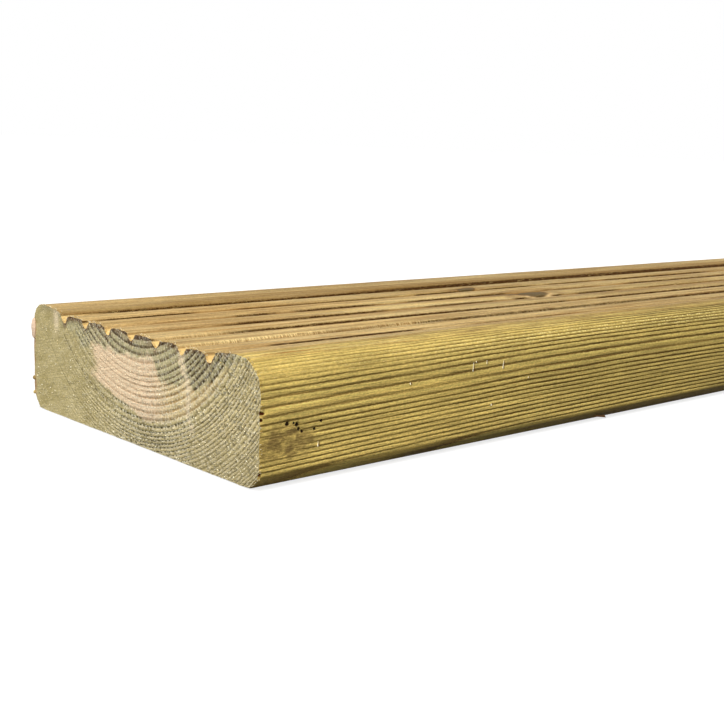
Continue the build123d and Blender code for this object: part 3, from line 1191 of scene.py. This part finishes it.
def makeSawnMaterial():
    p = sawn
    material, tree, shader = newMaterial("sawn end grain", p["specular"])
    point = boardPoint(tree)
    x, y, z = addNode(tree, "ShaderNodeSeparateXYZ", {"Vector": point}).outputs
    rings, arc, clarity, heart, stain = readFloats(tree, "rings", "arc", "clarity", "heart", "stain")
    darkness, ray, rimDirt, backRim = readFloats(tree, "darkness", "ray", "rimDirt", "backRim")
    ripple = maths(tree, "SUBTRACT", noise(tree, point, 1.2, 3, 0.6), 0.5)
    wavy = maths(tree, "MULTIPLY_ADD", ripple, remap(tree, rings, 22.0, 26.0, 0.16, 0.36), rings)
    lineShare = remap(tree, heart, 0.0, 1.0, 0.4, 0.5)
    lines = placeWith(tree, ringGroup, {"Ring Number": wavy, "Line Share": lineShare, "Unevenness": 0.45})
    specks = placeWith(tree, speckGroup, {"Ring Number": wavy, "Arc": arc, "Length": 1.25})
    finer = times(tree, wavy, 2.2)
    small = placeWith(tree, speckGroup, {"Ring Number": finer, "Arc": arc, "Length": 0.7})
    tints = placeWith(tree, tintGroup, {"Point": point})

    cloud = noise(tree, point, 5.0, 4, 0.6, (1, 2.4, 1), -0.5)
    base = mixColours(tree, remap(tree, cloud, 0.3, 0.72), p["sapLight"], p["sapDark"])
    base = mixColours(tree, remap(tree, y, -6.0, -26.0, 0.0, 0.55), base, p["sapPale"])
    pink = remap(tree, y, -8.0, -22.0)
    pale = mixColours(tree, pink, p["heartPink"], p["heartYellow"])
    base = mixColours(tree, heart, base, pale)

    # the stain gathers in the dark lines
    gathered = remap(tree, lines["Latewood"], 0.0, 0.6, 0.42, 1.0)
    stainTone = mixColours(tree, tints["Green"], p["stainLight"], p["stainGreen"])
    stainTone = mixColours(tree, times(tree, darkness, gathered), stainTone, p["stainDark"])
    soaked = times(tree, stain, remap(tree, specks["Chop"], 0.3, 0.6, 0.62, 0.95))
    base = mixColours(tree, soaked, base, stainTone)
    base = mixColours(tree, times(tree, rimDirt, 0.82), base, p["dirt"])

    # dark lines between the rings, broken up along their length where the saw tore them
    chopped = remap(tree, specks["Chop"], 0.34, 0.58, 0.45, 1.0)
    late = times(tree, times(tree, lines["Latewood"], chopped), clarity)
    tint = mixColours(tree, heart, p["lateTint"], p["heartLate"])
    base = mixColours(tree, late, base, mixColours(tree, 1.0, base, tint, "MULTIPLY"))
    inked = times(tree, times(tree, late, stain), 0.9)
    base = mixColours(tree, inked, base, p["stainDark"])
    # the crests between them are paler, in short stretches: partly paler wood, partly painted highlight on
    # the raised crests
    crest = times(tree, lines["Glow"], remap(tree, specks["Chop"], 0.62, 0.4))
    crest = times(tree, crest, remap(tree, clarity, 0.05, 0.65, 0.0, 0.7))
    base = mixColours(tree, crest, base, mixColours(tree, stain, p["heartCrest"], p["stainCrest"]))
    rayShare = times(tree, ray, remap(tree, small["Chop"], 0.35, 0.6, 0.5, 1.0))
    base = mixColours(tree, rayShare, base, p["ray"])

    for number, front, back, share in cracks:
        aside = maths(tree, "ABSOLUTE", maths(tree, "SUBTRACT", wavy, number))
        there = times(tree, remap(tree, y, front, front + 8), remap(tree, y, back, back - 8))
        crack = times(tree, remap(tree, aside, 0.22, 0.06), there)
        crack = times(tree, crack, remap(tree, specks["Chop"], 0.4, 0.55, 0.3 * share, share))
        base = mixColours(tree, crack, base, p["crack"])

    # painted shade in the hollows, and raised flecks painted pale: partly the torn fibres' own colour,
    # partly painted highlight
    calm = maths(tree, "MULTIPLY_ADD", heart, -0.65, 1.0)
    broken = times(tree, calm, maths(tree, "MULTIPLY_ADD", clarity, 0.75, 0.12))
    hollowShade = maths(tree, "MAXIMUM", specks["Dark"], times(tree, small["Dark"], 0.6))
    hollowShade = times(tree, hollowShade, broken)
    base = mixColours(tree, times(tree, hollowShade, 0.62), base, p["hollowShade"])
    fleck = times(tree, specks["Light"], 0.5)
    fleck = maths(tree, "MAXIMUM", fleck, times(tree, small["Light"], 0.9))
    fleck = times(tree, fleck, maths(tree, "MULTIPLY_ADD", clarity, 0.6, 0.3))
    base = mixColours(tree, times(tree, fleck, 0.7), base, p["fleck"])

    # rows of pale teeth with dark gaps between them, on the dark line of each ring: partly the torn wood's
    # colour, partly painted highlight on the teeth and painted shade in the gaps
    onLine = times(tree, remap(tree, lines["Latewood"], 0.1, 0.5), readFloat(tree, "toothed"))
    onLine = times(tree, onLine, remap(tree, small["Chop"], 0.36, 0.54, 0.5, 1.0))
    base = mixColours(tree, onLine, base, mixColours(tree, specks["Row"], p["gap"], p["fleck"]))
    base = mixColours(tree, times(tree, backRim, 0.7), base, p["backRim"])

    scratch = noise(tree, point, 0.5, 4, 0.6, (1, 14, 1), -sawnEnd["scratchTurn"])
    grit = noise(tree, point, 0.45, 3, 0.6)
    scratched = remap(tree, scratch, 0.3, 0.7, 0.88, 1.1)
    lowFront = times(tree, remap(tree, z, 17.0, 4.0, 0.0, 0.17), remap(tree, y, 18.0, -4.0))
    scratched = times(tree, scratched, maths(tree, "SUBTRACT", 1.0, lowFront))
    base = brighten(tree, base, times(tree, scratched, remap(tree, grit, 0.3, 0.7, 0.87, 1.12)))
    tree.links.new(base, shader.inputs["Base Color"])

    setRoughness(tree, shader, grit, 0.3, 0.7, p["roughness"] - 0.08, p["roughness"] + 0.08)
    heights = [(grit, 0.35), (late, -0.6), (fleck, 0.8), (hollowShade, -0.7), (scratch, 0.3)]
    setRelief(tree, shader, p["bumpDistance"], p["bumpStrength"], heights)
    return material


board.data.materials.append(makePlanedMaterial())
board.data.materials.append(makeSawnMaterial())
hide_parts("decking_board")
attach(board, "root")
print("board dressed")


def makeSplinters(name, roots, directions, lengths, widths, tones):
    # slim splinters of four faces that start just under the surface
    directions = directions / np.linalg.norm(directions, axis=1)[:, None]
    helper = np.where(np.abs(directions[:, 2:3]) > 0.9, [[1.0, 0, 0]], [[0, 0, 1.0]])
    across = np.cross(directions, helper)
    across /= np.linalg.norm(across, axis=1)[:, None]
    lift = np.cross(across, directions)
    lengths, widths = lengths[:, None], widths[:, None]
    start = roots - directions * lengths * 0.15
    angles = [math.radians(turn) for turn in (90, 210, 330)]
    corners = [start + (across * math.cos(a) + lift * 0.6 * math.sin(a)) * widths / 2 for a in angles]
    tip = roots + directions * lengths + lift * lengths * 0.12
    points = np.stack([*corners, tip], axis=1).reshape(-1, 3)
    points[:, 2] = np.maximum(points[:, 2], 0.02)
    faces = []
    for n in range(0, len(points), 4):
        faces += [(n, n + 2, n + 1), (n, n + 1, n + 3), (n + 1, n + 2, n + 3), (n + 2, n, n + 3)]
    addFibreMesh(name, points, faces, np.repeat(tones, 4))


def addFibreMesh(name, points, faces, tones):
    mesh = newMesh(name, points, faces)
    addFloats(mesh, "tone", tones)
    mesh.materials.append(splinterMaterial)
    mesh.update()
    piece = addObject(name, mesh)
    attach(piece, "root")
    print(f"{name}: {len(faces)} triangles")


splinterLook = {
    "dark": colour(104, 70, 30),
    "straw": colour(218, 190, 118),
    "pale": colour(255, 250, 222),
    "pinkish": colour(232, 192, 162),
    "roughness": 0.8,
    "specular": 0.5,
}


def makeSplinterMaterial():
    # the tone of a splinter runs from 0, dark, by straw and 1, pale, to 2, pinkish
    p = splinterLook
    material, tree, shader = newMaterial("torn fibres", p["specular"])
    tone = readFloat(tree, "tone")
    base = layOver(tree, p["dark"], p, [
        (remap(tree, tone, 0.0, 0.5), "straw"),
        (remap(tree, tone, 0.5, 1.0), "pale"),
        (remap(tree, tone, 1.0, 2.0), "pinkish"),
    ])
    point = boardPoint(tree)
    streaks = noise(tree, point, 0.5, 3, 0.6, (5, 1, 1))
    base = brighten(tree, base, remap(tree, streaks, 0.3, 0.7, 0.85, 1.1))
    tree.links.new(base, shader.inputs["Base Color"])
    grain = noise(tree, point, 0.6)
    setRoughness(tree, shader, grain, 0.3, 0.7, p["roughness"] - 0.06, p["roughness"] + 0.1)
    return material


splinterMaterial = makeSplinterMaterial()

# Torn wood: how many splinters, and their lengths, widths and tones as (least, most)
tornWood = {
    "groove_fibres": {"count": 3200, "length": (1.2, 4.5), "width": (0.1, 0.2), "tone": (0.0, 0.38)},
    "arris_fibres": {"count": 900, "length": (0.4, 1.2), "width": (0.12, 0.24), "tone": (0.3, 0.6)},
    "end_flecks": {"count": 2600, "length": (0.15, 0.35), "width": (0.4, 0.9), "tone": (0.65, 1.0)},
    "rim_splinters": {"count": 420, "length": (0.3, 1.1), "width": (0.2, 0.45), "tone": (0.3, 1.0)},
}
seenLength = 300.0  # mm of the board that the camera sees well


def drawSizes(random, name):
    look = tornWood[name]
    return [random.uniform(*look[key], look["count"]) for key in ("length", "width", "tone")]


def surfacePoints(x, chosen):
    # points on the worn surface at given columns, with the way out of the wood there
    y, z = columns[chosen].T
    outY, outZ = outward[chosen].T
    knotAway = woodAt(x, y, z)[1]
    points = shapeOf(x, y, z, outY, outZ, girth[chosen], knotAway)
    return points, np.stack([np.zeros(len(x)), outY, outZ], axis=1)


def placesAlong(random, count, nearShare):
    # more of them in the stretch that the camera sees
    near = random.uniform(1, seenLength, count)
    far = random.uniform(seenLength, boardLength - 2, count)
    return np.where(random.random(count) < nearShare, near, far)


def addGrooveFibres():
    random = np.random.default_rng(81)
    count = tornWood["groove_fibres"]["count"]
    y, z = columns.T
    past = y - np.array(grooveMiddles)[grooveOf(y)]
    flank = (past > 0.7) & (past < 2.2) & (z > rootLevel + 0.6) & (np.abs(y) < 45)
    chosen = random.choice(np.flatnonzero(flank), count)
    x = placesAlong(random, count, 0.6)
    points, out = surfacePoints(x, chosen)
    torn = tearOf(x, *columns[chosen].T)[0]
    keep = torn > random.uniform(0.15, 1.0, count)
    way = np.sign(random.uniform(-1, 1, count))
    directions = np.stack([way, random.normal(0, 0.1, count), random.normal(0, 0.08, count)], axis=1)
    directions += out * random.uniform(0.05, 0.3, count)[:, None]
    sizes = drawSizes(random, "groove_fibres")
    makeSplinters("groove_fibres", *[part[keep] for part in (points, directions, *sizes)])


def addArrisFibres():
    random = np.random.default_rng(82)
    count = tornWood["arris_fibres"]["count"]
    high = (arrisMask(*columns.T) > 0.7) & (columns[:, 1] > 28.5) & (columns[:, 1] < 32.5)
    chosen = random.choice(np.flatnonzero(high), count)
    points, out = surfacePoints(placesAlong(random, count, 0.7), chosen)
    sway, rise = random.normal(0, 0.1, count), random.normal(0, 0.1, count)
    directions = np.stack([np.ones(count), sway, rise], axis=1)
    directions += out * random.uniform(0.1, 0.4, count)[:, None]
    makeSplinters("arris_fibres", points, directions, *drawSizes(random, "arris_fibres"))


def addEndFlecks():
    # tufts that the saw pulled out of the end nearest the camera
    random = np.random.default_rng(83)
    count = tornWood["end_flecks"]["count"]
    inner = ringPoints(0.0, 0.9)
    y, z = inner[random.choice(len(inner), count)].T
    x = np.zeros(count)
    rings = woodAt(x, y, z)[0]
    masks = endMasks(x, y, z, rings)
    out = endRelief(y, z, rings, arcLength(x, y, z), masks["clarity"])
    keep = random.random(count) < 0.06 + 0.36 * masks["clarity"] * (1 - 0.5 * masks["heart"])
    points = np.stack([-out, y, z], axis=1)
    spread = random.normal(0, 0.5, (2, count))
    directions = np.stack([-np.ones(count), spread[0], spread[1] + 0.5], axis=1)
    lengths, widths, tones = drawSizes(random, "end_flecks")
    tones = tones - 0.15 * masks["darkness"]
    kept = [part[keep] for part in (points, directions, lengths, widths, tones)]
    makeSplinters("end_flecks", *kept)


def addRimSplinters():
    # a ragged fringe where the saw left the wood
    random = np.random.default_rng(84)
    count = tornWood["rim_splinters"]["count"]
    chosen = random.choice(len(columns), count)
    points, out = surfacePoints(random.uniform(0.1, 0.7, count), chosen)
    low = np.clip(1 - points[:, 2] / 3, 0, 1)
    directions = out * random.uniform(0.2, 0.9, count)[:, None] * (1 - low)[:, None]
    directions[:, 0] -= random.uniform(0.3, 1.0, count)
    makeSplinters("rim_splinters", points, directions, *drawSizes(random, "rim_splinters"))


# Shavings that the saw pushed out of the back side: (z, half height, how far out, half length, tone)
shavings = [(25.7, 3.4, 1.2, 0.7, 1.7), (9.4, 0.7, 0.8, 0.5, 0.2), (4.6, 0.6, 0.5, 0.4, 0.4)]


def addShavings(rings=9, turns=14):
    tilt = np.linspace(0, math.pi, rings)[:, None]
    turn = np.linspace(0, 2 * math.pi, turns, endpoint=False)[None, :]
    points, faces, tones = [], [], []
    for z, high, proud, length, tone in shavings:
        lumpy = 1 + 0.25 * smoothNoise(2 * tilt, 3 * np.cos(turn), 3 * np.sin(turn), seed=int(10 * z))
        across = np.sin(tilt) * lumpy
        blob = np.stack(np.broadcast_arrays(
            length * across * np.cos(turn) - 0.1, halfWidth - 0.25 + proud * across * np.sin(turn),
            z + high * np.cos(tilt),
        ), axis=-1)
        start = sum(len(part) for part in points)
        points.append(blob.reshape(-1, 3))
        tones += [tone] * blob[..., 0].size
        for i, j in np.ndindex(rings - 1, turns):
            a, b = start + i * turns + j, start + i * turns + (j + 1) % turns
            c, d = a + turns, b + turns
            if i > 0:
                faces.append((a, c, b))
            if i < rings - 2:
                faces.append((b, c, d))
    addFibreMesh("back_shavings", np.concatenate(points), faces, tones)


# Pale scuffs on the front side: (x, top z, bottom z, width)
scuffs = [
    (78.0, 26.3, 23.8, 0.34), (84.0, 26.2, 25.2, 0.28), (91.4, 25.7, 23.3, 0.34), (79.4, 26.4, 26.0, 0.3),
    (19.0, 10.9, 9.6, 0.36), (52.3, 22.9, 22.4, 0.5), (87.0, 12.8, 12.2, 0.5), (103.6, 19.4, 18.9, 0.4),
]


def addScuffsWithShadows():
    # each pale sliver has a dark one just beside it: a painted shadow
    x, high, low, widths = np.array(scuffs * 2).T
    # the dark copies, moved a little along the board, are the painted shadows
    dark = np.arange(len(x)) >= len(scuffs)
    x = x + 0.45 * dark
    points = np.stack([x, np.full(len(x), -halfWidth + 0.02), low], axis=1)
    directions = np.stack([np.zeros(len(x)), np.full(len(x), -0.02), np.ones(len(x))], axis=1)
    tones = np.where(dark, 0.0, 1.0)
    makeSplinters("side_scuffs_with_shadows", points, directions, high - low, widths * 2.4, tones)


# One coarse splinter hangs from the lower front edge
lowerSplinter = {"x": 146.5, "inside": 2.3, "height": 0.5, "length": 8.5, "width": 1.7, "tone": 0.02}


def addLowerSplinter():
    s = lowerSplinter
    root = np.array([[s["x"], s["inside"] - halfWidth, s["height"]]])
    sizes = [np.array([s[key]]) for key in ("length", "width", "tone")]
    makeSplinters("lower_splinter", root, np.array([[-1.0, 0.2, 0.0]]), *sizes)


addGrooveFibres()
addArrisFibres()
addEndFlecks()
addRimSplinters()
addShavings()
addScuffsWithShadows()
addLowerSplinter()


# Floor, light and camera
stageLook = {
    "skyStrength": 0.66,
    "keyStrength": 1.55,
    "keyFrom": (-0.3, -0.3, 0.9),
    "keySize": 22.0,  # degrees: soft edges on the shadow
    "fillStrength": 1.4,
    "fillFrom": (-0.82, -0.42, 0.39),
    "fillSize": 40.0,
    "floorSize": 60,  # metres
    "floorLevel": -0.0002,  # just under the board
    "floorBounce": 0.02,  # a pale floor that throws little light back up
    "floorShade": 0.36,
    "floorGlow": 0.72,
}


def raysOf(tree, *kinds):
    # 1 for a ray of one of these kinds
    path = addNode(tree, "ShaderNodeLightPath")
    found = path.outputs[kinds[0]]
    for kind in kinds[1:]:
        found = maths(tree, "MAXIMUM", found, path.outputs[kind])
    return found


def makeFloor():
    bpy.ops.mesh.primitive_plane_add(size=stageLook["floorSize"], location=(0, 0, stageLook["floorLevel"]))
    floor = bpy.context.active_object
    floor.name = "floor"
    material, tree, shader = newMaterial("pale floor", 0.0)
    seen = raysOf(tree, "Is Camera Ray", "Is Glossy Ray")
    bounce, shade = [(stageLook[key],) * 3 + (1,) for key in ("floorBounce", "floorShade")]
    tree.links.new(mixColours(tree, seen, bounce, shade), shader.inputs["Base Color"])
    tree.links.new(times(tree, seen, stageLook["floorGlow"]), shader.inputs["Emission Strength"])
    shader.inputs["Emission Color"].default_value = (1, 1, 1, 1)
    shader.inputs["Roughness"].default_value = 1.0
    floor.data.materials.append(material)


def makeSky():
    world = bpy.data.worlds.new("studio")
    bpy.context.scene.world = world
    world.use_nodes = True
    tree = world.node_tree
    seen = raysOf(tree, "Is Camera Ray", "Is Glossy Ray", "Is Transmission Ray")
    strength = maths(tree, "MAXIMUM", seen, stageLook["skyStrength"])
    background = tree.nodes["Background"]
    background.inputs["Color"].default_value = (1, 1, 1, 1)
    tree.links.new(strength, background.inputs["Strength"])


def addSun(name, strength, comesFrom, size):
    light = bpy.data.lights.new(name, "SUN")
    light.energy = strength
    light.angle = math.radians(size)
    lamp = addObject(name, light)
    lamp.rotation_euler = Vector(comesFrom).to_track_quat("Z", "Y").to_euler()


# The camera stands low beside the sawn end, with the far end out of the picture
cameraPlace = {
    "beyondEnd": 0.1768,  # metres from the sawn end, back along the board
    "aside": -0.2883,
    "height": 0.0873,
    "heading": 47.32,  # degrees from the board's length
    "tiltDown": 10.38,
    "roll": 2.144,
    "focalPixels": 1181.4,
    "picturePixels": 724,
}


def makeCamera():
    c = cameraPlace
    lens = bpy.data.cameras.new("camera")
    lens.sensor_width = 36.0
    lens.lens = lens.sensor_width * c["focalPixels"] / c["picturePixels"]
    lens.clip_start = 0.01
    camera = addObject("camera", lens)
    heading, tilt, roll = [math.radians(c[key]) for key in ("heading", "tiltDown", "roll")]
    forward = Vector((math.cos(heading), math.sin(heading), 0)) * math.cos(tilt)
    ahead = forward - Vector((0, 0, math.sin(tilt)))
    level = ahead.cross(Vector((0, 0, 1))).normalized()
    up = level.cross(ahead)
    right = level * math.cos(roll) + up * math.sin(roll)
    up = right.cross(ahead)
    turn = Matrix((right, up, -ahead)).transposed()
    position = Vector((cadLow.x - c["beyondEnd"], c["aside"], c["height"]))
    camera.matrix_world = Matrix.Translation(position) @ turn.to_4x4()
    bpy.context.scene.camera = camera


makeFloor()
makeSky()
addSun("key light", stageLook["keyStrength"], stageLook["keyFrom"], stageLook["keySize"])
addSun("fill light", stageLook["fillStrength"], stageLook["fillFrom"], stageLook["fillSize"])
makeCamera()
bpy.context.scene.view_settings.view_transform = "Standard"
print("stage, lights and camera set")
